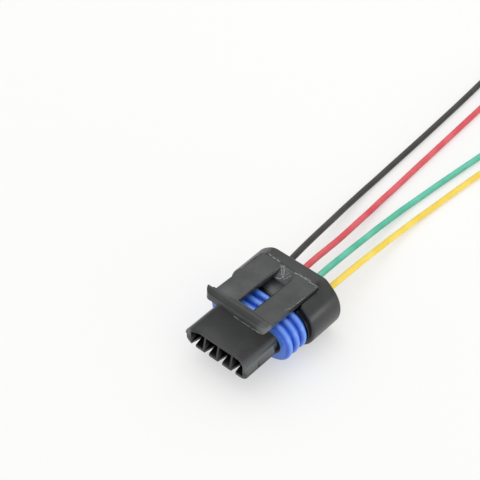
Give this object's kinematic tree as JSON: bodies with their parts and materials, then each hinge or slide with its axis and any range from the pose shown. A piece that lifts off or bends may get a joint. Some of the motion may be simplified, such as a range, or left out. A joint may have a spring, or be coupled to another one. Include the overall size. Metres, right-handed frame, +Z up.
{
  "type": "sealed automotive connector plug",
  "caption": "Black plastic plug with open cavities in its nose, a ribbed blue ring seal, a windowed latch lever and coloured leads that lie out behind it.",
  "frame": {"origin": "centre of the plug's footprint, on the bench plane under the back shell; the leads do not count", "axes": "-Y towards the mating nose, +Y towards the leads, +X across to the yellow lead's side, +Z up towards the latch"},
  "size_m": [0.034, 0.1593, 0.0196],
  "materials": {
    "body_plastic": "satin moulded polyester with fine wear",
    "seal_silicone": "smooth silicone with a soft sheen",
    "tinned_bronze": "tin plated sheet",
    "copper": "stranded copper",
    "tinned_copper": "tinned strands",
    "insulation_black": "soft satin vinyl",
    "insulation_red": "soft satin vinyl",
    "insulation_green": "soft satin vinyl",
    "insulation_yellow": "soft satin vinyl"
  },
  "bodies": {
    "plug": {"housing": "body_plastic", "interface_seal": "seal_silicone", "wire_seal": "seal_silicone", "rear_cap": "body_plastic", "terminal_1": "tinned_bronze", "terminal_2": "tinned_bronze", "terminal_3": "tinned_bronze", "terminal_4": "tinned_bronze", "core_1": "copper", "core_2": "copper", "core_3": "copper", "core_4": "copper", "wire_black": "insulation_black", "wire_red": "insulation_red", "wire_green": "insulation_green", "wire_yellow": "insulation_yellow", "stripped_end_black": "tinned_copper", "stripped_end_red": "tinned_copper", "stripped_end_green": "tinned_copper", "stripped_end_yellow": "tinned_copper"},
    "latch": {"latch_lever": "body_plastic"}
  },
  "joints": [
    {"name": "latch_flex", "type": "hinge", "parent": "plug", "child": "latch", "pos_m": [0, 0.01095, 0.0165], "axis": [-1, 0, 0], "range_deg": [0, 8], "stiffness_Nm_per_rad": 2}
  ]
}
